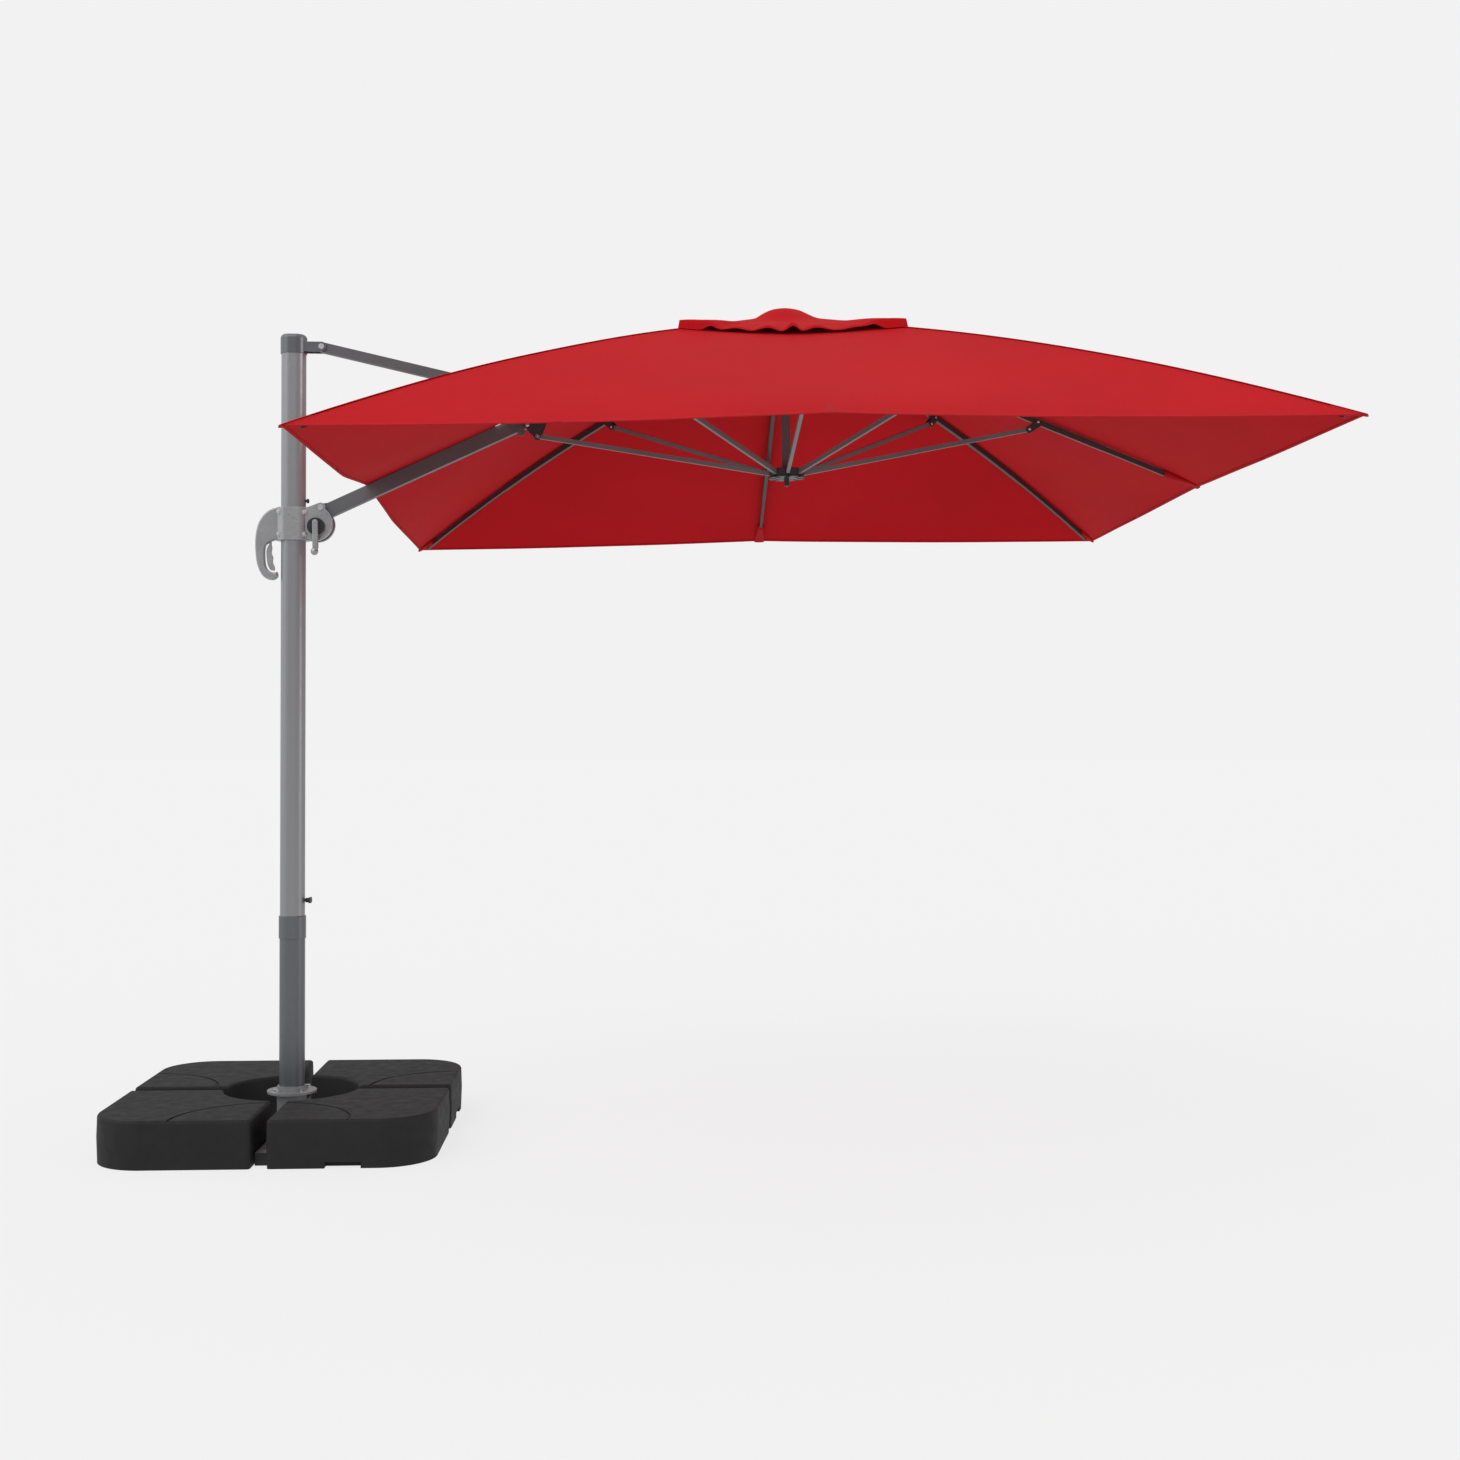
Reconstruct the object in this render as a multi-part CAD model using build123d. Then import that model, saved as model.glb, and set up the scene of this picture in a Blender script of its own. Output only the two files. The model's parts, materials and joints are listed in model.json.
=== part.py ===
"""Cantilever patio umbrella: cross base with ballast slabs, swivelling mast, sliding handle, folding arm
and a 3 m square canopy. Millimetres, +Z up. The origin is on the mast's axis, on the ground."""

import os
from math import atan2, cos, degrees, hypot, radians, sin, sqrt

from build123d import *

# Base
SLAB_HALF = 558          # from the mast's axis to a slab's outer side
SLAB_HEIGHT = 158
SLAB_PARTING = 84        # height of the mould's parting line, where a slab is widest
SLAB_DRAFT = 2           # degrees, above and below the parting line
SLAB_GAP = 48            # between two slabs
SLAB_CORNER = 180
SLAB_SMALL_CORNER = 14   # upright corners beside the gaps
SLAB_EDGE = 11           # rounding of the top edges
WELL_RADIUS = 230        # round well in the middle of the four slabs
STEP_RADIUS = 290        # moulded quarter circle on a slab's top
STEP_WIDTH = 9
STEP_DEPTH = 4
NOTCH = (211, 328, 20)   # grip notch at a slab's bottom edge: from, to, height
LEG_WIDTH = 42
LEG_HEIGHT = 40
LEG_REACH = 500
FLANGE_RADIUS = 86
FLANGE_TOP = 150
BOLT_CIRCLE = 134

# Mast
LOWER_MAST = (88, 68)    # outer section, along X and Y
UPPER_MAST = (86, 66)
MAST_CORNER = 31
MAST_WALL = 2.5
COLLAR_BOTTOM = 685
COLLAR_TOP = 765
SPINDLE_RADIUS = 24
WING_SCREW_HEIGHT = 819
MAST_TOP = 2756
CAP_TOP = 2824
STOP_PIN_HEIGHT = 2234

# Linkage pivots in the plane Y = 0, as (X, Z)
ARM_FOOT = (100, 2208)       # arm on slider
STRUT_HEAD = (100, 2780)     # upper strut on mast cap
ARM_FORK = (800, 2494)       # upper strut on arm: as far from the head as from the arm's foot
STRUT_BEND = (600, 2666)
ARM_LINE = ((141, 2207.4), (925, 2574))    # centre line of the arm's tube
ARM_RIB_START = (880, 2551)
ARM_STRUT_PIVOT = (862, 2472)
ARM_SCREW = (826, 2510)      # of the bracket that carries the small strut
ARM_WIDTH = 30
ARM_DEPTH = 50
STRUT_WIDTH = 30.6
STRUT_DEPTH = 34
FORK_INSIDE = 21.6       # from the plane Y = 0 to a fork cheek: it passes outside the arm's bracket
FORK_THICKNESS = 4

# Slider
SLEEVE_BOTTOM = 2092
SLEEVE_TOP = 2209
SLEEVE_HALF_X = 60
SLEEVE_HALF_Y = 38
SLEEVE_CORNER = 36
CRANK_CENTRE = (85, 2140)
HOUSING_CENTRE = (80, 2152)
HOUSING_RADIUS = 62
CHEEK = (15.5, 30)       # inner and outer distance of a hinge cheek from the plane Y = 0
KNOB_CENTRE = (86, 2048)

# Canopy frame, in the canopy's own frame: its origin on the canopy's axis, level with the rib pivots
HUB = (1744, 0, 2868)
CANOPY_TILT = -1.12      # degrees about Y: the mast's side is lower
PIVOT_RADIUS = 60
HALF_SIDE = 1500
RIB = (14, 20)           # width and depth of a rib
RIB_WALL = 1.3
STRUT = (12, 16)         # width and depth of a strut
RUNNER_LEVEL = -523
FABRIC_RISE = 17         # from a rib's centre line to the fabric's top
FABRIC_THICKNESS = 2
EDGE_DROP = 609          # from the rib pivots down to the canopy's corners
VENT_HALF_SIDE = 388
# A rib's centre line runs through its pivot, its bracket and its tip, each as (radius, height)
MID_RIB = ((60, 0), (917, -347), (1417, -556))
CORNER_RIB = ((60, 0), (917, -205), (2060, -602))
RIB_NAMES = {0: "rib_e", 45: "rib_ne", 90: "rib_n", 135: "rib_nw", 225: "rib_sw", 270: "rib_s", 315: "rib_se"}

PARTS = {}


def node(name, *solids):
    """Keeps a node: one solid, or a group of separate ones."""
    PARTS[name] = solids[0] if len(solids) == 1 else Compound(children=list(solids))


def rounded_column(size, corner, bottom, top):
    """A column of rounded rectangular section around the mast's axis."""
    section = RectangleRounded(size[0], size[1], corner)
    return Pos(0, 0, bottom) * extrude(section, top - bottom)


def tube_column(size, corner, wall, bottom, top):
    inner = (size[0] - 2 * wall, size[1] - 2 * wall)
    hole = rounded_column(inner, corner - wall, bottom - 1, top + 1)
    return rounded_column(size, corner, bottom, top) - hole


def across(x, z, radius, y_from, y_to):
    """A round pin or hole parallel to Y."""
    length = y_to - y_from
    return Pos(x, (y_from + y_to) / 2, z) * Rot(90, 0, 0) * Cylinder(radius, length)


def along_x(y, z, radius, x_from, x_to):
    """A round pin or hole parallel to X."""
    return Pos((x_from + x_to) / 2, y, z) * Rot(0, 90, 0) * Cylinder(radius, x_to - x_from)


def plate(sketch, y_from, y_to):
    """A sketch drawn in X and Z, made solid between two values of Y."""
    upright = Plane(origin=(0, y_from, 0), x_dir=(1, 0, 0), z_dir=(0, -1, 0))
    return extrude(upright * sketch, -(y_to - y_from))


def link_outline(start, end, radius):
    """A flat link's outline: round at both pivots."""
    length = hypot(end[0] - start[0], end[1] - start[1])
    middle = ((start[0] + end[0]) / 2, (start[1] + end[1]) / 2)
    turn = degrees(atan2(end[1] - start[1], end[0] - start[0]))
    return Pos(*middle) * Rot(0, 0, turn) * SlotCenterToCenter(length, 2 * radius)


def beam_outline(start, end, depth):
    """A straight beam's side view, cut square at both ends."""
    length = hypot(end[0] - start[0], end[1] - start[1])
    middle = ((start[0] + end[0]) / 2, (start[1] + end[1]) / 2)
    turn = degrees(atan2(end[1] - start[1], end[0] - start[0]))
    return Pos(*middle) * Rot(0, 0, turn) * Rectangle(length, depth)


def on_line(start, end, distance):
    """The point at a distance from start towards end."""
    length = hypot(end[0] - start[0], end[1] - start[1])
    share = distance / length
    return (start[0] + (end[0] - start[0]) * share, start[1] + (end[1] - start[1]) * share)


def in_canopy(shape, azimuth=0):
    """Moves a shape from the canopy's own frame, turned about its axis, into the object's frame."""
    return Pos(*HUB) * Rot(0, CANOPY_TILT, 0) * Rot(0, 0, azimuth) * shape


# ---------------------------------------------------------------- base


def slab(side_x, side_y, step_at, notch_on):
    """One ballast slab: a quarter of the base, round at its outer corner and around the central well."""
    inner = SLAB_GAP / 2
    size = SLAB_HALF - inner
    outline = Pos(inner + size / 2, inner + size / 2) * Rectangle(size, size)
    corner = outline.vertices().sort_by_distance((SLAB_HALF, SLAB_HALF, 0))[0]
    outline = fillet(corner, SLAB_CORNER) - Circle(WELL_RADIUS)
    ends = [v for v in outline.vertices() if max(v.X, v.Y) > SLAB_HALF - 1 and min(v.X, v.Y) < inner + 1]
    outline = fillet(ends, SLAB_SMALL_CORNER)
    upper = extrude(outline, SLAB_HEIGHT - SLAB_PARTING, taper=SLAB_DRAFT)
    lower = extrude(outline, -SLAB_PARTING, taper=SLAB_DRAFT)
    body = Pos(0, 0, SLAB_PARTING) * (upper + lower)
    body = fillet(body.faces().sort_by(Axis.Z)[-1].edges(), SLAB_EDGE)
    centre = (SLAB_HALF, 0) if step_at == "x" else (0, SLAB_HALF)
    ring = Circle(STEP_RADIUS + STEP_WIDTH / 2) - Circle(STEP_RADIUS - STEP_WIDTH / 2)
    body -= Pos(*centre, SLAB_HEIGHT - STEP_DEPTH) * extrude(ring, STEP_DEPTH + 1)
    if notch_on:
        start, end, height = NOTCH
        middle = (start + end) / 2
        place = (SLAB_HALF, middle) if notch_on == "x" else (middle, SLAB_HALF)
        size = (80, end - start) if notch_on == "x" else (end - start, 80)
        body -= Pos(*place, 0) * Box(size[0], size[1], 2 * height)
    if side_x < 0:
        body = body.mirror(Plane.YZ)
    if side_y < 0:
        body = body.mirror(Plane.XZ)
    return body


def build_slabs():
    node("slab_near_left", slab(-1, -1, "y", None))
    node("slab_near_right", slab(1, -1, "y", "y"))
    node("slab_far_left", slab(-1, 1, "x", None))
    node("slab_far_right", slab(1, 1, "x", "x"))


def build_cross_base():
    """Two square tubes welded into a cross, with a round post in the middle."""
    wall = 3
    outer, inner = None, None
    for turn in (0, 90):
        tube = Rot(0, 0, turn) * Pos(0, 0, LEG_HEIGHT / 2) * Box(2 * LEG_REACH, LEG_WIDTH, LEG_HEIGHT)
        hollow_size = (2 * LEG_REACH + 2, LEG_WIDTH - 2 * wall, LEG_HEIGHT - 2 * wall)
        hollow = Rot(0, 0, turn) * Pos(0, 0, LEG_HEIGHT / 2) * Box(*hollow_size)
        outer = tube if outer is None else outer + tube
        inner = hollow if inner is None else inner + hollow
    frame = outer - inner
    post_radius = 52
    post_top = FLANGE_TOP - 8
    post = Pos(0, 0, (LEG_HEIGHT + post_top) / 2) * Cylinder(post_radius, post_top - LEG_HEIGHT)
    frame += post
    caps = []
    for turn in (0, 90, 180, 270):
        hole = Pos(440, 0, LEG_HEIGHT) * Cylinder(6, 4 * wall)
        frame -= Rot(0, 0, turn) * hole
        face = Pos(LEG_REACH + 2, 0, LEG_HEIGHT / 2) * Box(4, LEG_WIDTH, LEG_HEIGHT)
        plug_size = (18, LEG_WIDTH - 2 * wall - 0.4, LEG_HEIGHT - 2 * wall - 0.4)
        plug = Pos(LEG_REACH - 9, 0, LEG_HEIGHT / 2) * Box(*plug_size)
        caps.append(Rot(0, 0, turn) * (face + plug))
    node("cross_base", frame)
    node("leg_caps", *caps)


def build_flange():
    """Round flange on the post, with the ring that the mast's foot stands in and four bolts."""
    disc = Pos(0, 0, FLANGE_TOP - 4) * Cylinder(FLANGE_RADIUS, 8)
    ring_size = (LOWER_MAST[0] + 12, LOWER_MAST[1] + 12)
    bore_size = (LOWER_MAST[0] + 0.4, LOWER_MAST[1] + 0.4)
    ring = rounded_column(ring_size, MAST_CORNER + 6, FLANGE_TOP, FLANGE_TOP + 16)
    ring -= rounded_column(bore_size, MAST_CORNER, FLANGE_TOP, FLANGE_TOP + 17)
    node("base_flange", disc + ring)
    bolts = []
    for turn in (45, 135, 225, 315):
        washer = Pos(0, 0, FLANGE_TOP + 1) * Cylinder(11, 2)
        head = Pos(0, 0, FLANGE_TOP + 2) * extrude(RegularPolygon(9, 6), 7)
        bolts.append(Rot(0, 0, turn) * Pos(BOLT_CIRCLE / 2, 0, 0) * (washer + head))
    node("flange_bolts", *bolts)


# ---------------------------------------------------------------- mast


def build_lower_mast():
    node("lower_mast", tube_column(LOWER_MAST, MAST_CORNER, MAST_WALL, FLANGE_TOP, COLLAR_BOTTOM))
    plug_size = (LOWER_MAST[0] - 2 * MAST_WALL - 0.4, LOWER_MAST[1] - 2 * MAST_WALL - 0.4)
    plug = rounded_column(plug_size, MAST_CORNER - MAST_WALL, COLLAR_BOTTOM - 60, COLLAR_BOTTOM)
    spindle_top = WING_SCREW_HEIGHT + 16
    height = spindle_top - COLLAR_BOTTOM + 10
    spindle = Pos(0, 0, COLLAR_BOTTOM - 10 + height / 2) * Cylinder(SPINDLE_RADIUS, height)
    node("swivel_spindle", plug + spindle)


def build_collar():
    """Collar that turns on the spindle and plugs into the upper mast."""
    body = rounded_column((94, 74), MAST_CORNER + 3, COLLAR_BOTTOM + 0.5, COLLAR_TOP)
    body = chamfer(body.faces().sort_by(Axis.Z)[-1].edges(), 2)
    plug_size = (UPPER_MAST[0] - 2 * MAST_WALL - 0.4, UPPER_MAST[1] - 2 * MAST_WALL - 0.4)
    body += rounded_column(plug_size, MAST_CORNER - MAST_WALL, COLLAR_TOP - 5, WING_SCREW_HEIGHT + 30)
    body -= Pos(0, 0, WING_SCREW_HEIGHT) * Cylinder(SPINDLE_RADIUS + 0.3, 400)
    body -= along_x(0, WING_SCREW_HEIGHT, 4.2, 0, 60)
    node("collar", body)


def build_upper_mast():
    mast = tube_column(UPPER_MAST, MAST_CORNER, MAST_WALL, COLLAR_TOP, MAST_TOP)
    mast -= along_x(0, WING_SCREW_HEIGHT, 4.2, 20, 60)
    mast -= along_x(0, STOP_PIN_HEIGHT, 5.2, 20, 60)
    node("upper_mast", mast)


def build_wing_screw():
    """Screw that clamps the spindle, with two rounded wings."""
    shank = along_x(0, WING_SCREW_HEIGHT, 4, SPINDLE_RADIUS + 0.5, 56)
    boss = along_x(0, WING_SCREW_HEIGHT, 8, 46, 56)
    wing = Pos(62, 0, WING_SCREW_HEIGHT) * Rot(0, 90, 90) * extrude(SlotOverall(43, 20), 3, both=True)
    node("wing_screw", shank + boss + wing)


def build_stop_pin():
    shank = along_x(0, STOP_PIN_HEIGHT, 5, 22, 51)
    button = along_x(0, STOP_PIN_HEIGHT, 8, 47.5, 55)
    button = fillet(button.faces().sort_by(Axis.X)[-1].edges(), 4)
    shoulder = along_x(0, STOP_PIN_HEIGHT, 8, 33, 39.4)
    node("stop_pin", shank + button + shoulder)


def build_cap():
    """Mast cap with the two lugs that carry the upper strut."""
    body = rounded_column((92, 72), MAST_CORNER + 3, MAST_TOP, CAP_TOP)
    body = fillet(body.faces().sort_by(Axis.Z)[-1].edges(), 14)
    plug_size = (UPPER_MAST[0] - 2 * MAST_WALL - 0.4, UPPER_MAST[1] - 2 * MAST_WALL - 0.4)
    body += rounded_column(plug_size, MAST_CORNER - MAST_WALL, MAST_TOP - 40, MAST_TOP + 5)
    inner = STRUT_WIDTH / 2 + 0.4
    for side in (-1, 1):
        near, far = sorted((side * inner, side * (inner + 6)))
        lug = plate(link_outline((30, STRUT_HEAD[1]), STRUT_HEAD, 17), near, far)
        body += lug
    body -= across(*STRUT_HEAD, 6.1, -40, 40)
    node("mast_cap", body)
    node("strut_head_pin", headed_pin(STRUT_HEAD, 6, 10, inner + 6))


def headed_pin(place, radius, head_radius, half_length):
    """A pin parallel to Y with a domed head at each end."""
    pin = across(*place, radius, -half_length, half_length)
    for side in (-1, 1):
        near, far = sorted((side * (half_length + 0.1), side * (half_length + 4)))
        pin += across(*place, head_radius, near, far)
        pin += across(*place, radius, *sorted((side * (half_length - 1), side * (half_length + 1))))
    return pin


# ---------------------------------------------------------------- slider


def build_slider():
    """Sleeve around the mast with the two cheeks of the arm's hinge."""
    sleeve = rounded_column((2 * SLEEVE_HALF_X, 2 * SLEEVE_HALF_Y), SLEEVE_CORNER, SLEEVE_BOTTOM, SLEEVE_TOP)
    sleeve = fillet(sleeve.faces().filter_by(Axis.Z).edges(), 2)
    for side in (-1, 1):
        near, far = sorted((side * CHEEK[0], side * CHEEK[1]))
        fan = Pos(*HOUSING_CENTRE) * Circle(HOUSING_RADIUS)
        fan += link_outline((60, SLEEVE_TOP - 17), (ARM_FOOT[0], ARM_FOOT[1]), 17)
        sleeve += plate(fan, near, far)
        rim = Pos(*HOUSING_CENTRE) * (Circle(HOUSING_RADIUS) - Circle(HOUSING_RADIUS - 7))
        rim = rim & Pos(HOUSING_CENTRE[0] + 50, HOUSING_CENTRE[1]) * Rectangle(100, 200)
        outer = sorted((side * (CHEEK[1] - 0.5), side * (CHEEK[1] + 3)))
        sleeve += plate(rim, *outer)
        head = sorted((side * CHEEK[1], side * (CHEEK[1] + 5)))
        sleeve -= across(*ARM_FOOT, 11, *head)
    bore = (UPPER_MAST[0] + 1, UPPER_MAST[1] + 1)
    sleeve -= rounded_column(bore, MAST_CORNER, SLEEVE_BOTTOM - 20, SLEEVE_TOP + 30)
    sleeve -= across(*ARM_FOOT, 6.1, -50, 50)
    sleeve -= across(*CRANK_CENTRE, 6.2, -50, 50)
    node("slider_sleeve", sleeve)
    bolts = []
    rise = (Align.CENTER, Align.CENTER, Align.MIN)
    for x in (-44, 44):
        for z in (2190, 2112):
            seat = CHEEK[1] if x > 0 else 22
            face = SLEEVE_HALF_Y - 4
            head = Cylinder(9, face - seat, align=rise) + Pos(0, 0, face - seat) * Cone(9, 5, 4, align=rise)
            dome = Pos(x, -seat, z) * Rot(90, 0, 0) * head
            dome -= rounded_column((2 * SLEEVE_HALF_X, 2 * SLEEVE_HALF_Y), SLEEVE_CORNER, 2000, 2300)
            bolts.append(dome)
            bolts.append(dome.mirror(Plane.XZ))
    node("sleeve_bolts", *bolts)
    node("arm_foot_pin", headed_pin(ARM_FOOT, 6, 10, CHEEK[1]))


def handle_outline():
    """The hooked grip's outline, from the sleeve down to its curled tip and back."""
    outer = Spline((-50, 2209), (-92, 2194), (-119, 2158), (-131, 2108), (-131, 2050), (-118, 1988),
                   (-88, 1955), (-62, 1956), (-53, 1968))
    tip = Line((-53, 1968), (-56, 1981))
    inner = Spline((-56, 1981), (-76, 1981), (-90, 1991), (-99, 2020), (-100, 2052), (-95, 2077),
                   (-80, 2089), (-50, 2094))
    root = Line((-50, 2094), (-50, 2209))
    return make_face([outer, tip, inner, root])


def lever_outline():
    """The squeeze lever's outline: finger waves in front, and a back that follows the grip."""
    waves = 3
    top, bottom = (-78, 2080), (-66, 1986)
    front = []
    for i in range(2 * waves + 1):
        share = i / (2 * waves)
        wave = 1.6 if i % 2 else -1.6
        x = top[0] + (bottom[0] - top[0]) * share ** 1.5 + wave
        front.append((x, top[1] + (bottom[1] - top[1]) * share))
    back = Spline((-79, 1988), (-87, 2003), (-92, 2028), (-93, 2052), (-87, 2074))
    return make_face([Spline(*front), Line(front[-1], (-79, 1988)), back, Line((-87, 2074), front[0])])


def build_handle():
    """Hooked grip with the squeeze lever hinged in a pocket at its root."""
    hinge = (-80, 2094)
    grip = plate(handle_outline(), -14, 14)
    rims = grip.faces().filter_by(Axis.Y).edges().filter_by(lambda e: e.center().X < -51)
    grip = fillet(rims, 5)
    sleeve_size = (2 * SLEEVE_HALF_X, 2 * SLEEVE_HALF_Y)
    grip -= rounded_column(sleeve_size, SLEEVE_CORNER, SLEEVE_BOTTOM - 5, SLEEVE_TOP + 5)
    grip -= Pos(hinge[0], 0, hinge[1]) * Box(24, 12.8, 32)
    grip += across(*hinge, 2, -13, 13)
    node("handle", grip)
    lever = plate(lever_outline(), -9, 9)
    lever += Pos(hinge[0] - 1, 0, hinge[1] - 9) * Box(8, 12, 18)
    lever += across(*hinge, 6, -6, 6)
    node("grip_lever", lever - across(*hinge, 2.1, -10, 10))


def build_crank():
    """Shaft with its cord drum, outer disc, lever and ball knob."""
    shaft = across(*CRANK_CENTRE, 6, -31, 30) + across(*CRANK_CENTRE, 17, -13, 13)
    node("crank_drum", shaft)
    disc = across(*CRANK_CENTRE, 30, -45, -33.5) + across(*CRANK_CENTRE, 14, -34, -31)
    node("crank_disc", disc)
    top = (85, 2153)
    lever = plate(link_outline(top, (KNOB_CENTRE[0], KNOB_CENTRE[1] + 16), 10), -55, -45)
    lever = fillet(lever.faces().sort_by(Axis.Y)[0].edges(), 3)
    lever += plate(link_outline(top, KNOB_CENTRE, 6), -53, -46)
    lever += across(*KNOB_CENTRE, 3, -66, -52)
    node("crank_lever", lever)
    ball = Pos(KNOB_CENTRE[0], -66, KNOB_CENTRE[1]) * Sphere(13)
    ball -= across(*KNOB_CENTRE, 3.1, -66.5, -50)
    node("crank_knob", ball)


# ---------------------------------------------------------------- arm and upper strut


def box_beam(start, end, width, depth, wall):
    """A rectangular tube in the plane Y = 0, open at both ends."""
    beyond = on_line(start, end, -5), on_line(end, start, -5)
    tube = plate(beam_outline(start, end, depth), -width / 2, width / 2)
    hollow = beam_outline(*beyond, depth - 2 * wall)
    return tube - plate(hollow, -width / 2 + wall, width / 2 - wall)


def build_arm():
    start = on_line(*ARM_LINE, -30)
    tube = box_beam(start, ARM_LINE[1], ARM_WIDTH, ARM_DEPTH, 2.5)
    tongue = plate(link_outline(ARM_FOOT, on_line(*ARM_LINE, 25), 15), -14, 14)
    root = plate(beam_outline(start, on_line(*ARM_LINE, 30), ARM_DEPTH - 4), -13, 13)
    tube += tongue + root
    tube -= across(*ARM_FOOT, 6.1, -30, 30)
    tube -= across(*ARM_FORK, 4.1, -30, 30)
    node("arm_tube", tube)
    tilt = radians(CANOPY_TILT)
    pivot = (HUB[0] - PIVOT_RADIUS * cos(tilt), HUB[2] + PIVOT_RADIUS * sin(tilt))
    rib = plate(beam_outline(ARM_RIB_START, pivot, 22), -7, 7) + across(*pivot, 11, -7, 7)
    node("arm_rib", rib - across(*pivot, 2.3, -20, 20))
    bracket = None
    for side in (-1, 1):
        near, far = sorted((side * 15.2, side * 18.2))
        cheek = plate(link_outline(ARM_STRUT_PIVOT, (858, 2521), 13), near, far)
        cheek += plate(link_outline(ARM_STRUT_PIVOT, (886, 2535), 12), near, far)
        cheek += plate(link_outline(ARM_STRUT_PIVOT, ARM_SCREW, 11), near, far)
        bush = across(*ARM_STRUT_PIVOT, 8, *sorted((side * 6.5, side * 16)))
        head = across(*ARM_STRUT_PIVOT, 7, *sorted((side * 18, side * 21)))
        screw = across(*ARM_SCREW, 5, *sorted((side * 18, side * 20.5)))
        piece = cheek + bush + head + screw
        bracket = piece if bracket is None else bracket + piece
    bracket += across(*ARM_STRUT_PIVOT, 3, -16, 16)
    node("arm_bracket", bracket)
    node("fork_pin", headed_pin(ARM_FORK, 4, 8, FORK_INSIDE + FORK_THICKNESS + 0.1))


def build_upper_strut():
    tube = box_beam(STRUT_HEAD, STRUT_BEND, STRUT_WIDTH, STRUT_DEPTH, 2.5)
    end = plate(link_outline(STRUT_HEAD, on_line(STRUT_HEAD, STRUT_BEND, 30), STRUT_DEPTH / 2), -12.8, 12.8)
    tube += end
    tube -= across(*STRUT_HEAD, 6.1, -30, 30)
    node("upper_strut_tube", tube)
    cheeks = []
    for side in (-1, 1):
        near, far = sorted((side * FORK_INSIDE, side * (FORK_INSIDE + FORK_THICKNESS)))
        foot = link_outline(on_line(STRUT_BEND, STRUT_HEAD, 34), STRUT_BEND, 17)
        cheek = plate(foot + link_outline(STRUT_BEND, ARM_FORK, 17), near, far)
        cheek += plate(foot, *sorted((side * STRUT_WIDTH / 2, side * (FORK_INSIDE + 1))))
        cheeks.append(cheek - across(*ARM_FORK, 4.1, -30, 30))
    node("strut_fork", *cheeks)


# ---------------------------------------------------------------- canopy frame


def circle_through(a, b, c):
    """Centre and radius of the circle through three points."""
    d = 2 * (a[0] * (b[1] - c[1]) + b[0] * (c[1] - a[1]) + c[0] * (a[1] - b[1]))
    squares = [p[0] ** 2 + p[1] ** 2 for p in (a, b, c)]
    x = (squares[0] * (b[1] - c[1]) + squares[1] * (c[1] - a[1]) + squares[2] * (a[1] - b[1])) / d
    y = (squares[0] * (c[0] - b[0]) + squares[1] * (a[0] - c[0]) + squares[2] * (b[0] - a[0])) / d
    return (x, y), hypot(a[0] - x, a[1] - y)


def arc_height(line, radius):
    """Height of the arc through a line's three points, at a distance from the canopy's axis."""
    (x, y), r = circle_through(*line)
    return y + sqrt(r * r - (radius - x) ** 2)


def bowed_outline(line, depth, start, end):
    """A bowed beam's side view between two radii."""
    (x, y), r = circle_through(*line)
    rows = []
    for offset in (depth / 2, -depth / 2):
        row = []
        for at in (start, (start + end) / 2, end):
            ux, uy = (at - x) / r, (arc_height(line, at) - y) / r
            row.append((x + ux * (r + offset), y + uy * (r + offset)))
        rows.append(row)
    top, bottom = rows
    edges = [ThreePointArc(*top), Line(top[2], bottom[2]), ThreePointArc(*bottom), Line(bottom[0], top[0])]
    return make_face(edges)


def bracket_pivot(line):
    """Where a strut hangs under its rib's bracket."""
    (x, y), r = circle_through(*line)
    at = line[1]
    outward = ((at[0] - x) / r, (at[1] - y) / r)
    along = (outward[1], -outward[0])
    back, down = 20, 36
    return (at[0] - along[0] * back - outward[0] * down, at[1] - along[1] * back - outward[1] * down)


def build_rib(azimuth):
    line = CORNER_RIB if azimuth % 90 else MID_RIB
    width, depth = RIB
    tip = line[2][0]
    step = tip - (520 if azimuth % 90 else 260)     # the thinner tip slides in the rib's tube here
    body = plate(bowed_outline(line, depth, PIVOT_RADIUS, step), -width / 2, width / 2)
    body += across(*line[0], depth / 2, -width / 2, width / 2)
    inner = bowed_outline(line, depth - 2 * RIB_WALL, PIVOT_RADIUS + 60, step + 5)
    body -= plate(inner, -width / 2 + RIB_WALL, width / 2 - RIB_WALL)
    small = (width - 2 * RIB_WALL, depth - 2 * RIB_WALL)
    body += plate(bowed_outline(line, small[1], step - 30, tip), -small[0] / 2, small[0] / 2)
    body -= across(*line[0], 2.3, -20, 20)
    name = RIB_NAMES[azimuth]
    node(name, in_canopy(body, azimuth))
    pivot = bracket_pivot(line)
    piece = across(*pivot, 3, -9, 9)
    for side in (-1, 1):
        near, far = sorted((side * (width / 2 + 0.2), side * (width / 2 + 2.2)))
        piece += plate(link_outline(pivot, (line[1][0], line[1][1] - 6), 13), near, far)
        piece += across(*line[1], 5, *sorted((side * (width / 2 + 2), side * (width / 2 + 4))))
        piece += across(*pivot, 5, *sorted((side * (width / 2 + 2), side * (width / 2 + 4))))
    node(name.replace("rib", "bracket"), in_canopy(piece, azimuth))


def build_strut(azimuth, outer, name):
    """A straight strut from its bracket to the runner."""
    inner = (PIVOT_RADIUS, RUNNER_LEVEL)
    width, depth = STRUT
    body = plate(link_outline(inner, outer, depth / 2), -width / 2, width / 2)
    body -= across(*outer, 3.1, -20, 20)
    node(name, in_canopy(body, azimuth))


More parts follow.
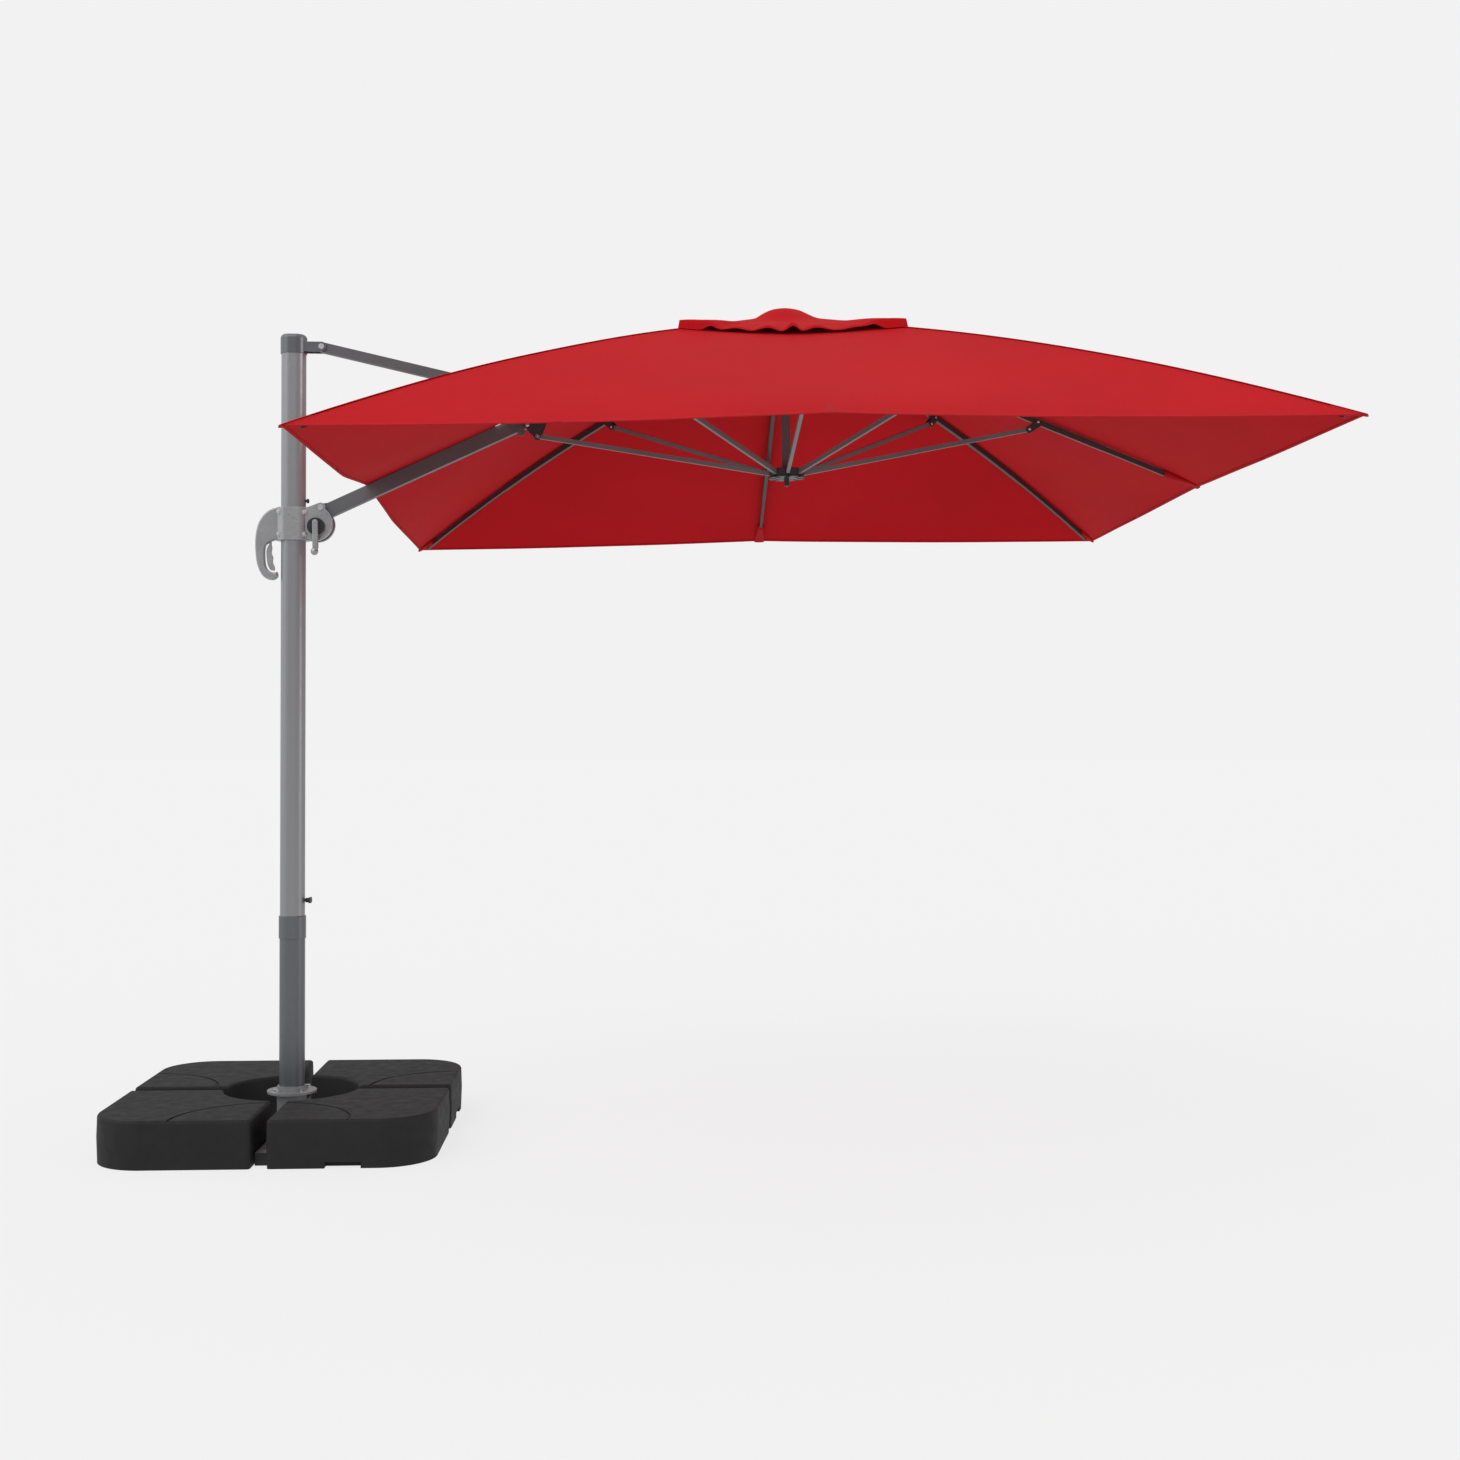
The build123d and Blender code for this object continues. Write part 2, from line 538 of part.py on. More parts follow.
def star(radius, core, slot, bottom, top):
    """A disc with eight radial slots, open outwards."""
    body = Pos(0, 0, (bottom + top) / 2) * Cylinder(radius, top - bottom)
    for turn in range(0, 360, 45):
        length = radius - core + 10
        cut = Pos(core + length / 2, 0, (bottom + top) / 2) * Box(length, slot, top - bottom + 2)
        body -= Rot(0, 0, turn) * cut
    return body


def build_hub():
    """Star hub under a closed lid, and the wire ring that the ribs turn on."""
    hub = star(78, 44, RIB[0] + 1.2, -18, 14)
    hub -= Torus(PIVOT_RADIUS, 1.8)
    lid = Pos(0, 0, 15.5) * Cylinder(80, 3)
    hub += fillet(lid.edges().sort_by(Axis.Z)[-1], 2)
    node("top_hub", in_canopy(hub))
    node("hub_ring", in_canopy(Torus(PIVOT_RADIUS, 1.6)))


def build_runner():
    runner = star(62, 38, STRUT[0] + 2, RUNNER_LEVEL - 14, RUNNER_LEVEL + 14)
    node("runner", in_canopy(runner))
    plate_bottom = RUNNER_LEVEL - 18
    lower = star(65, 38, STRUT[0] + 2, plate_bottom, RUNNER_LEVEL - 14)
    knob = Pos(0, 0, plate_bottom - 14) * Cylinder(9, 28)
    lower += fillet(knob.edges().sort_by(Axis.Z)[0], 4)
    node("runner_plate", in_canopy(lower))
    bottom, top = RUNNER_LEVEL + 14, -24
    tube = Pos(0, 0, (bottom + top) / 2) * (Cylinder(16.5, top - bottom) - Cylinder(14.5, top - bottom))
    node("centre_tube", in_canopy(tube))


# ---------------------------------------------------------------- fabric


def thin_shell(rings, thickness):
    """A closed sheet over rings of points, from the inner ring to the outer one. A ring of one point closes
    the middle."""
    def low(p):
        return (p[0], p[1], p[2] - thickness)

    def triangle(a, b, c):
        return Face(Wire.make_polygon([a, b, c], close=True))

    faces = []
    for inner, outer in zip(rings, rings[1:]):
        n = len(outer)
        for k in range(n):
            c, d = outer[k], outer[(k + 1) % n]
            if len(inner) == 1:
                cells = [(inner[0], c, d)]
            else:
                cells = [(inner[k], c, d), (inner[k], d, inner[(k + 1) % n])]
            for cell in cells:
                faces.append(triangle(*cell))
                faces.append(triangle(*[low(p) for p in reversed(cell)]))
    rims = [rings[-1]] if len(rings[0]) == 1 else [rings[0], rings[-1]]
    for rim in rims:
        n = len(rim)
        for k in range(n):
            a, b = rim[k], rim[(k + 1) % n]
            faces.append(triangle(a, b, low(b)))
            faces.append(triangle(a, low(b), low(a)))
    return Solid(Shell(faces))


def ridge(azimuth):
    """The fabric's line over a rib, up to the rib's tip: three points as (radius, height)."""
    if azimuth == 180:
        return ((60, 18), (864, -278), (MID_RIB[2][0], -548))
    line = CORNER_RIB if azimuth % 90 else MID_RIB
    return tuple((radius, height + FABRIC_RISE) for radius, height in line)


def fabric_ring(share):
    """Eight points of the fabric's top at one share of the way to the ribs' tips; share None is the edge."""
    points = []
    for azimuth in range(0, 360, 45):
        if share is None:
            radius = HALF_SIDE * sqrt(2) if azimuth % 90 else HALF_SIDE
            height = (0 if azimuth % 90 else 21) - EDGE_DROP
        else:
            line = ridge(azimuth)
            radius = share * line[2][0]
            height = arc_height(line, radius)
        points.append((radius * cos(radians(azimuth)), radius * sin(radians(azimuth)), height))
    return points


def build_canopy():
    shares = (0.14, 0.3, 0.45, 0.6, 0.75, 0.88, 1.0, None)
    sheet = in_canopy(thin_shell([fabric_ring(s) for s in shares], FABRIC_THICKNESS))
    slit = Pos(HUB[0] - HALF_SIDE + 336, 0, 2500) * Box(760, 56, 700)
    node("canopy", sheet - slit)
    lift = 17
    share = VENT_HALF_SIDE / HALF_SIDE
    rings = [[(0, 0, 62)]]
    for part in (0.5, 1.0):
        ring = fabric_ring(share * part)
        sag = 1 - 0.25 * (1 - part)
        rings.append([(x, y, z * sag + lift) for x, y, z in ring])
    node("vent_cap", in_canopy(thin_shell(rings, FABRIC_THICKNESS)))


def build_all():
    build_slabs()
    build_cross_base()
    build_flange()
    build_lower_mast()
    build_collar()
    build_upper_mast()
    build_wing_screw()
    build_stop_pin()
    build_cap()
    build_slider()
    build_handle()
    build_crank()
    build_arm()
    build_upper_strut()
    for azimuth, name in RIB_NAMES.items():
        build_rib(azimuth)
        line = CORNER_RIB if azimuth % 90 else MID_RIB
        build_strut(azimuth, bracket_pivot(line), name.replace("rib", "strut"))
    turn = radians(CANOPY_TILT)
    dx, dz = ARM_STRUT_PIVOT[0] - HUB[0], ARM_STRUT_PIVOT[1] - HUB[2]
    west_pivot = (-(dx * cos(turn) - dz * sin(turn)), dx * sin(turn) + dz * cos(turn))
    build_strut(180, west_pivot, "strut_w")
    build_hub()
    build_runner()
    build_canopy()


build_all()
os.makedirs("parts", exist_ok=True)
for name, shape in PARTS.items():
    export_step(shape, f"parts/{name}.step")
print(len(PARTS), "nodes")
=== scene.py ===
"""Looks of a cantilever patio umbrella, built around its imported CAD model.

Metres, +Z up, origin on the mast's axis at the ground.
"""
import json
from math import cos, pi, radians, sin, sqrt

import bmesh
import bpy
from mathutils import Euler, Matrix, Vector, noise


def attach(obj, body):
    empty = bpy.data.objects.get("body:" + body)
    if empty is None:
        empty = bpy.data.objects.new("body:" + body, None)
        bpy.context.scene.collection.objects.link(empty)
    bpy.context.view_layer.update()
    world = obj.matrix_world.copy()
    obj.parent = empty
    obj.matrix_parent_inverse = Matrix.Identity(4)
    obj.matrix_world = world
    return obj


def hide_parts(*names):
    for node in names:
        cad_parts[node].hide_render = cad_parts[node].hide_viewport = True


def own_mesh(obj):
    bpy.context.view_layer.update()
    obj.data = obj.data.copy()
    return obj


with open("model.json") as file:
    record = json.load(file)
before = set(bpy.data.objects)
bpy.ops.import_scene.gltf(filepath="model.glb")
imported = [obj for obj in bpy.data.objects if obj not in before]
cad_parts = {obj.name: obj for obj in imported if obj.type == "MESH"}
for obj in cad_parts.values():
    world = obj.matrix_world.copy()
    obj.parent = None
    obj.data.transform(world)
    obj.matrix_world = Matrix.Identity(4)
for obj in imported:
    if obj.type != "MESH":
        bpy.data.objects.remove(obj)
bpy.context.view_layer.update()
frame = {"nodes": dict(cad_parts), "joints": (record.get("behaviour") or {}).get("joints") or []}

# The canopy, in its own frame: origin on its axis, level with the rib pivots
HALF_SIDE = 1.5
INNER = 0.2                   # half side of the opening under the vent cap
# (radius, height) of the fabric over a rib: at the hub, at the bracket and at the rib's tip
MID_RIDGE = ((0.060, 0.017), (0.917, -0.330), (1.417, -0.539))
CORNER_RIDGE = ((0.060, 0.017), (0.917, -0.188), (2.060, -0.585))
ARM_RIDGE = ((0.060, 0.018), (0.864, -0.278), (1.417, -0.548))
MID_EDGE = -0.588             # height of the hem at a mid rib and at a corner
CORNER_EDGE = -0.609
EDGE_EASE = 0.84              # share of the way out where the fabric starts to ease down to the hem
SAG = 0.014                   # of a gore between its ribs
SCALLOP = 0.012               # of the hem between two ribs
ROWS = 48
COLUMNS = 28

# Sewn bands, as (width, thickness)
HEM = (0.011, 0.0032)
SEAM = (0.013, 0.0022)
BINDING = (0.009, 0.0028)

# The arm, in the plane Y = 0, and the slit in the fabric that the upper strut's fork moves in
ARM_LINE = ((0.141, 2.2074), (0.925, 2.574))
ARM_HALF_WIDTH = 0.015
ARM_HALF_DEPTH = 0.0276       # measured upright
TENT_SLOPE = 0.11             # of the fabric that is raised beside the arm
TENT_REACH = 0.8              # how far to each side of the arm it can be raised
SLIT_HALF = 0.0275            # half its width
SLIT_SPAN = (0.69, 1.2)       # along X
ARM_COLUMNS = (0.0, 0.014, SLIT_HALF, 0.034, 0.043, 0.056, 0.075, 0.1)      # from the arm's middle plane
SPREAD_COLUMNS = 10           # from the last of them to the sector's side

# The vent cap
VENT_HALF = 0.385             # half side of its hem
VENT_TOP = 0.068              # height of its middle
VENT_ROWS = 26
VENT_COLUMNS = 64
VALANCE = 0.005               # how far its short valance leans out
VALANCE_ROWS = 3
CROWN = 0.09                  # half side of its middle, which stays with the hub
CROWN_ROWS = 8
DOME_RADIUS = 0.17            # of the small dome in its middle
FOLD_HEIGHT = 0.028           # of its highest folds
# Folds of the vent's hem: place along a side, from -1 to 1, and height between 0 and about 1
HEM_WAVES = ((-1, 0.92), (-0.76, 1.0), (-0.63, 0.12), (-0.5, 0.4), (-0.37, 0.06), (-0.22, 0.62), (-0.1, 0.1),
             (0, 1.0), (0.08, 0.14), (0.2, 0.6), (0.38, 0.06), (0.58, 0.45), (0.8, 1.05), (1, 0.92))

# Rivet heads and the label
FABRIC_RISE = 0.017           # from a rib's centre line to the fabric
RIVET_SEAT = 0.0108           # from a rib's middle plane to its rivet heads
RIVET_RADIUS = 0.0058
RIVET_RISE = 0.0032
ARM_SCREW = (0.826, 0, 2.510)
ARM_RIVET_SEAT = 0.0182       # from the arm's middle plane
ARM_RIVET_RADIUS = 0.0085
LABEL_WIDTH = 0.034
LABEL_DROP = 0.024
LABEL_RADIUS = 1.80           # from the canopy's axis

# The camera
LENS = 43.49
EYE = (1.2343, -6.3191, 1.355)
EYE_TURN = (pi / 2 + 0.0106, 0, -0.05)

# The studio: the backdrop's brightness, and how bright each direction is, as (axis, from, to, dark, bright)
PALE = 0.888
STUDIO = (
    (2, -0.1, 0.9, 0.35, 0.85),
    (1, -0.9, 0.1, 0.0, 0.12),
    (0, 0.4, 1.0, 0.0, 0.35),
    (0, -1.0, -0.35, 0.75, 0.0),
)
SUNS = (("key", (50, 0, -40), 0.85, 60), ("side", (80, 0, 66), 0.3, 20))    # name, turn, energy, angle
FLOOR_HALF = 200
FLOOR_GLOW = 0.77             # as seen
FLOOR_LIGHT = 0.54            # as it lights the object from below
FLOOR_SHADE = 0.13

SECTORS = {0: "e", 45: "ne", 90: "n", 135: "nw", 180: "w", 225: "sw", 270: "s", 315: "se"}
JOINTS = {joint["name"]: joint for joint in frame["joints"]}


def joint_place(name):
    return Vector(JOINTS[name]["pos_m"])


HUB = (joint_place("rib_n_fold") + joint_place("rib_s_fold")) / 2
UP = -Vector(JOINTS["runner_slide"]["axis"]).normalized()
NORTH = Vector((0, 1, 0))
EAST = NORTH.cross(UP).normalized()
CANOPY = Matrix((EAST, NORTH, UP)).transposed()


def from_canopy(point):
    """A point of the canopy's frame, in the object's frame."""
    return HUB + CANOPY @ Vector(point)


# ---------------------------------------------------------------- camera, light and floor


def build_stage():
    """Camera at the viewing angle, pale seamless floor and soft light."""
    scene = bpy.context.scene
    camera = bpy.data.cameras.new("camera")
    camera.lens = LENS
    camera.sensor_width = 36
    eye = bpy.data.objects.new("camera", camera)
    eye.location = EYE
    eye.rotation_euler = EYE_TURN
    scene.collection.objects.link(eye)
    scene.camera = eye
    scene.view_settings.view_transform = "Standard"

    build_world()
    for name, turn, energy, angle in SUNS:
        lamp = bpy.data.lights.new(name, "SUN")
        lamp.energy = energy
        lamp.angle = radians(angle)
        sun = bpy.data.objects.new(name, lamp)
        sun.rotation_euler = Euler([radians(value) for value in turn])
        scene.collection.objects.link(sun)
    build_floor()


def build_world():
    """Even pale backdrop, and for the object a studio that is bright except behind the camera."""
    world = bpy.data.worlds.new("studio")
    world.use_nodes = True
    tree = world.node_tree

    def add(kind, **values):
        made = tree.nodes.new(kind)
        for name, value in values.items():
            setattr(made, name, value)
        return made

    backdrop = tree.nodes["Background"]
    backdrop.inputs["Color"].default_value = (PALE, PALE, PALE, 1)
    ramps = []
    split = add("ShaderNodeSeparateXYZ")
    tree.links.new(add("ShaderNodeTexCoord").outputs["Generated"], split.inputs[0])
    for axis, low, high, dark, bright in STUDIO:
        ramp = add("ShaderNodeMapRange", interpolation_type="SMOOTHSTEP")
        for name, value in (("From Min", low), ("From Max", high), ("To Min", dark), ("To Max", bright)):
            ramp.inputs[name].default_value = value
        tree.links.new(split.outputs[axis], ramp.inputs["Value"])
        ramps.append(ramp.outputs["Result"])
    total = ramps[0]
    for ramp in ramps[1:]:
        joined = add("ShaderNodeMath", operation="ADD")
        tree.links.new(total, joined.inputs[0])
        tree.links.new(ramp, joined.inputs[1])
        total = joined.outputs["Value"]
    room = add("ShaderNodeBackground")
    tree.links.new(total, room.inputs["Strength"])
    chosen = add("ShaderNodeMixShader")
    tree.links.new(add("ShaderNodeLightPath").outputs["Is Camera Ray"], chosen.inputs[0])
    tree.links.new(room.outputs[0], chosen.inputs[1])
    tree.links.new(backdrop.outputs[0], chosen.inputs[2])
    tree.links.new(chosen.outputs[0], tree.nodes["World Output"].inputs["Surface"])
    bpy.context.scene.world = world


def build_floor():
    """Floor that glows a little, so that shadows on it stay faint."""
    mesh = bpy.data.meshes.new("floor")
    corners = [(x * FLOOR_HALF, y * FLOOR_HALF, 0) for x, y in ((-1, -1), (1, -1), (1, 1), (-1, 1))]
    mesh.from_pydata(corners, [], [(0, 1, 2, 3)])
    floor = bpy.data.objects.new("floor", mesh)
    bpy.context.scene.collection.objects.link(floor)
    finish = Finish("floor_paper")
    socket = finish.principled.inputs
    socket["Base Color"].default_value = (FLOOR_SHADE, FLOOR_SHADE, FLOOR_SHADE, 1)
    socket["Emission Color"].default_value = (1, 1, 1, 1)
    glow = finish.add("ShaderNodeMapRange")
    glow.inputs["To Min"].default_value = FLOOR_LIGHT
    glow.inputs["To Max"].default_value = FLOOR_GLOW
    finish.wire(finish.add("ShaderNodeLightPath").outputs["Is Camera Ray"], glow.inputs["Value"])
    finish.wire(glow.outputs["Result"], socket["Emission Strength"])
    socket["Roughness"].default_value = 1
    socket["Specular IOR Level"].default_value = 0
    mesh.materials.append(finish.material)


# ---------------------------------------------------------------- materials


class Finish:
    """A material with a Principled shader and short calls for its nodes."""

    def __init__(self, name):
        self.material = bpy.data.materials.new(name)
        self.material.use_nodes = True
        self.tree = self.material.node_tree
        self.principled = self.tree.nodes["Principled BSDF"]
        self.place = self.tree.nodes.new("ShaderNodeTexCoord").outputs["Object"]

    def add(self, kind, **values):
        made = self.tree.nodes.new(kind)
        for name, value in values.items():
            setattr(made, name, value)
        return made

    def wire(self, source, target):
        self.tree.links.new(source, target)

    def stretched(self, scale):
        mapping = self.add("ShaderNodeMapping")
        mapping.inputs["Scale"].default_value = scale
        self.wire(self.place, mapping.inputs["Vector"])
        return mapping.outputs["Vector"]

    def grain(self, scale, detail=3, stretch=(1, 1, 1)):
        """Noise between 0 and 1 with features of about 1 / scale metres."""
        made = self.add("ShaderNodeTexNoise")
        made.inputs["Scale"].default_value = scale
        made.inputs["Detail"].default_value = detail
        self.wire(self.stretched(stretch), made.inputs["Vector"])
        return made.outputs["Fac"]

    def ranged(self, value, low, high, start=0.3, end=0.7):
        made = self.add("ShaderNodeMapRange")
        for name, number in (("From Min", start), ("From Max", end), ("To Min", low), ("To Max", high)):
            made.inputs[name].default_value = number
        self.wire(value, made.inputs["Value"])
        return made.outputs["Result"]

    def math(self, operation, a, b):
        made = self.add("ShaderNodeMath", operation=operation)
        for socket, value in zip(made.inputs, (a, b)):
            if isinstance(value, (int, float)):
                socket.default_value = value
            else:
                self.wire(value, socket)
        return made.outputs["Value"]

    def mixed(self, share, first, second):
        made = self.add("ShaderNodeMix", data_type="RGBA")
        self.wire(share, made.inputs["Factor"])
        for socket, colour in ((made.inputs[6], first), (made.inputs[7], second)):
            if isinstance(colour, tuple):
                socket.default_value = (*colour, 1)
            else:
                self.wire(colour, socket)
        return made.outputs[2]

    def bump(self, height, distance, strength=1.0):
        made = self.add("ShaderNodeBump")
        made.inputs["Distance"].default_value = distance
        made.inputs["Strength"].default_value = strength
        self.wire(height, made.inputs["Height"])
        self.wire(made.outputs["Normal"], self.principled.inputs["Normal"])

    def set(self, **values):
        for name, value in values.items():
            self.principled.inputs[name.replace("_", " ")].default_value = value


def shaded(colour, factor):
    return tuple(min(1.0, part * factor) for part in colour)


def coated_metal(name, colour, roughness, metallic=0.55, speck=420, depth=0.00003, streak=(1, 1, 1)):
    """Satin powder coat: fine orange peel, slight tone changes and a few rubbed marks."""
    made = Finish(name)
    tone = made.ranged(made.grain(3.5, 4, streak), 0, 1)
    base = made.mixed(tone, shaded(colour, 0.9), shaded(colour, 1.1))
    rubbed = made.ranged(made.grain(22, 3, streak), 0, 0.4, 0.62, 0.8)
    base = made.mixed(rubbed, base, shaded(colour, 1.15))
    made.wire(base, made.principled.inputs["Base Color"])
    rough = made.ranged(made.grain(30, 2), roughness - 0.03, roughness + 0.04)
    made.wire(rough, made.principled.inputs["Roughness"])
    made.bump(made.grain(speck, 2), depth, 0.4)
    made.set(Metallic=metallic)
    return made.material


def brushed_metal(name, colour, roughness, metallic=0.85):
    """Satin casting with faint grain along it and small pits."""
    made = Finish(name)
    lines = made.grain(60, 3, (1, 1, 12))
    tone = made.ranged(made.grain(9, 4), 0, 1)
    base = made.mixed(tone, shaded(colour, 0.86), shaded(colour, 1.12))
    made.wire(base, made.principled.inputs["Base Color"])
    made.wire(made.ranged(lines, roughness - 0.04, roughness + 0.05), made.principled.inputs["Roughness"])
    made.bump(made.math("ADD", lines, made.grain(700, 2)), 0.00002, 0.4)
    made.set(Metallic=metallic)
    return made.material


def moulded_plastic(name, colour, roughness, texture=520, depth=0.00035, shine=0.4):
    """Leathered moulding: fine pebbles, flow marks and dust that dulls it in patches."""
    made = Finish(name)
    pebbles = made.add("ShaderNodeTexVoronoi", feature="SMOOTH_F1")
    pebbles.inputs["Scale"].default_value = texture
    made.wire(made.place, pebbles.inputs["Vector"])
    tone = made.ranged(made.grain(4, 5), 0, 1)
    base = made.mixed(tone, shaded(colour, 0.92), shaded(colour, 1.08))
    dust = made.ranged(made.grain(14, 6), 0, 0.25, 0.55, 0.75)
    base = made.mixed(dust, base, shaded(colour, 1.3))
    made.wire(base, made.principled.inputs["Base Color"])
    rough = made.ranged(made.grain(25, 5), roughness - 0.07, roughness + 0.1)
    made.wire(rough, made.principled.inputs["Roughness"])
    made.bump(made.math("ADD", pebbles.outputs["Distance"], made.grain(90, 3)), depth, 0.5)
    made.set(Specular_IOR_Level=shine)
    return made.material


def woven_cloth(name, colour, thread=0.0016, sheen=0.02):
    """Plain weave: threads both ways, uneven yarn, weathered tone and soft creases."""
    made = Finish(name)
    waves = []
    for direction in ("X", "Y"):
        wave = made.add("ShaderNodeTexWave", wave_type="BANDS", bands_direction=direction)
        wave.inputs["Scale"].default_value = 2 * pi / 20 / thread
        wave.inputs["Distortion"].default_value = 0.6
        made.wire(made.place, wave.inputs["Vector"])
        waves.append(wave.outputs["Fac"])
    threads = made.math("MAXIMUM", *waves)
    slub = made.math("ADD", made.grain(260, 2, (1, 9, 1)), made.grain(260, 2, (9, 1, 1)))
    tone = made.ranged(made.grain(1.7, 3), 0, 1)
    base = made.mixed(tone, shaded(colour, 0.93), shaded(colour, 1.06))
    yarn = made.ranged(slub, 0, 1, 0.7, 1.3)
    base = made.mixed(made.math("MULTIPLY", yarn, 0.35), base, shaded(colour, 0.8))
    made.wire(base, made.principled.inputs["Base Color"])
    made.wire(made.ranged(threads, 0.9, 0.72, 0, 1), made.principled.inputs["Roughness"])
    creases = made.math("MULTIPLY", made.grain(7, 3), 6.0)
    height = made.math("ADD", made.math("MULTIPLY", threads, 0.35), made.math("ADD", slub, creases))
    made.bump(height, 0.0006, 0.55)
    made.set(Sheen_Weight=sheen, Sheen_Roughness=0.45, Specular_IOR_Level=0.08)
    made.principled.inputs["Sheen Tint"].default_value = (1.0, 0.55, 0.55, 1)
    return made.material


def build_materials():
    return {
        "fabric": woven_cloth("red_canvas", (0.56, 0.006, 0.011)),
        "trim": woven_cloth("red_webbing", (0.5, 0.014, 0.02), 0.0011),
        "label": woven_cloth("white_label", (0.75, 0.75, 0.74), 0.0008, 0.1),
        "ballast": moulded_plastic("ballast_plastic", (0.02, 0.02, 0.0215), 0.62, shine=0.2),
        "black": moulded_plastic("black_plastic", (0.02, 0.02, 0.021), 0.5, 800, 0.0002),
        "joint": moulded_plastic("joint_plastic", (0.045, 0.047, 0.052), 0.4, 900, 0.00015),
        "base_steel": coated_metal("base_steel_paint", (0.3, 0.31, 0.32), 0.5),
        "bright": brushed_metal("zinc_plating", (0.62, 0.63, 0.64), 0.3),
        "mast": coated_metal("mast_paint", (0.31, 0.316, 0.33), 0.34, 0.5, 420, 0.00002, (1, 1, 0.05)),
        "mast_low": coated_metal("lower_mast_paint", (0.17, 0.178, 0.195), 0.3, 0.6, 420, 0.00002,
                                 (1, 1, 0.15)),
        "arm": coated_metal("arm_paint", (0.13, 0.133, 0.142), 0.42, 0.25),
        "strut": coated_metal("strut_paint", (0.19, 0.192, 0.2), 0.42, 0.12),
        "rib": coated_metal("rib_paint", (0.07, 0.07, 0.073), 0.34, 0.4),
        "slider": brushed_metal("slider_casting", (0.4, 0.405, 0.415), 0.3, 0.6),
    }


NODE_FINISH = {
    "ballast": ("slab_",),
    "black": ("leg_caps", "wing_screw", "stop_pin", "crank_disc"),
    "joint": ("top_hub", "runner", "bracket_", "arm_bracket"),
    "base_steel": ("cross_base", "base_flange"),
    "bright": ("flange_bolts", "sleeve_bolts", "arm_foot_pin", "strut_head_pin", "hub_ring", "swivel_spindle",
               "crank_drum"),
    "mast": ("upper_mast",),
    "mast_low": ("lower_mast", "collar", "mast_cap"),
    "arm": ("arm_tube", "arm_rib", "upper_strut_tube", "strut_fork", "fork_pin", "centre_tube"),
    "strut": ("strut_e", "strut_n", "strut_s", "strut_w"),
    "rib": ("rib_",),
    "slider": ("slider_sleeve", "handle", "grip_lever", "crank_lever", "crank_knob"),
    "fabric": ("canopy", "vent_cap"),
}


def finish_cad_nodes(materials):
    """Each CAD node takes the finish whose longest matching name it has."""
    for name, node in frame["nodes"].items():
        fits = [(len(start), kind) for kind, starts in NODE_FINISH.items() for start in starts
                if name.startswith(start)]
        kind = max(fits)[1]
        node.data.materials.clear()
        node.data.materials.append(materials[kind])


# ---------------------------------------------------------------- mesh helpers


def grid_faces(rows, columns, closed=False):
    faces = []
    for i in range(rows - 1):
        for k in range(columns if closed else columns - 1):
            after = (k + 1) % columns
            here, beyond = i * columns, (i + 1) * columns
            faces.append((here + k, here + after, beyond + after, beyond + k))
    return faces


def piece(name, points, faces, material, body, merge=None):
    """A smooth shaded mesh object that rides on a body."""
    mesh = bpy.data.meshes.new(name)
    mesh.from_pydata([tuple(p) for p in points], [], faces)
    shape = bmesh.new()
    shape.from_mesh(mesh)
    if merge:
        bmesh.ops.remove_doubles(shape, verts=shape.verts, dist=merge)
    bmesh.ops.delete(shape, geom=[v for v in shape.verts if not v.link_faces], context="VERTS")
    bmesh.ops.recalc_face_normals(shape, faces=shape.faces)
    shape.to_mesh(mesh)
    shape.free()
    mesh.shade_smooth()
    mesh.materials.append(material)
    made = bpy.data.objects.new(name, mesh)
    bpy.context.scene.collection.objects.link(made)
    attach(made, body)
    return made


def rounded_section(width, thickness, corner_points=3):
    """Points around a band's section, round at both ends: (across, up)."""
    radius = thickness / 2
    points = []
    for side in (1, -1):
        for k in range(corner_points + 1):
            turn = -pi / 2 + pi * k / corner_points
            points.append((side * (width / 2 - radius + radius * cos(turn)), side * radius * sin(turn)))
    return points


def band_mesh(line, across, up, section):
    """Points and faces of a closed band that follows a line. across and up are unit vectors at each point."""
    points = []
    for place, side, above in zip(line, across, up):
        for a, b in section:
            points.append(place + side * a + above * b)
    count = len(section)
    faces = grid_faces(len(line), count, closed=True)
    faces.append(tuple(range(count)))
    faces.append(tuple(reversed(range(len(points) - count, len(points)))))
    return points, faces


# ---------------------------------------------------------------- the roof's surface


def smooth_step(value):
    value = min(1.0, max(0.0, value))
    return value * value * (3 - 2 * value)


def arc_height(line, radius):
    """Height of the arc through three points (radius, height)."""
    a, b, c = line
    d = 2 * (a[0] * (b[1] - c[1]) + b[0] * (c[1] - a[1]) + c[0] * (a[1] - b[1]))
    squares = [p[0] ** 2 + p[1] ** 2 for p in line]
    x = (squares[0] * (b[1] - c[1]) + squares[1] * (c[1] - a[1]) + squares[2] * (a[1] - b[1])) / d
    y = (squares[0] * (c[0] - b[0]) + squares[1] * (a[0] - c[0]) + squares[2] * (b[0] - a[0])) / d
    return y + sqrt((a[0] - x) ** 2 + (a[1] - y) ** 2 - (radius - x) ** 2)


def ridge_height(line, radius, edge_radius, edge_height):
    """The fabric's height over a rib, eased down to the hem over the last stretch."""
    share = (radius / edge_radius - EDGE_EASE) / 0.16
    if share <= 0:
        return arc_height(line, radius)
    drop = edge_height - arc_height(line, edge_radius)
    return arc_height(line, radius) + drop * share * share


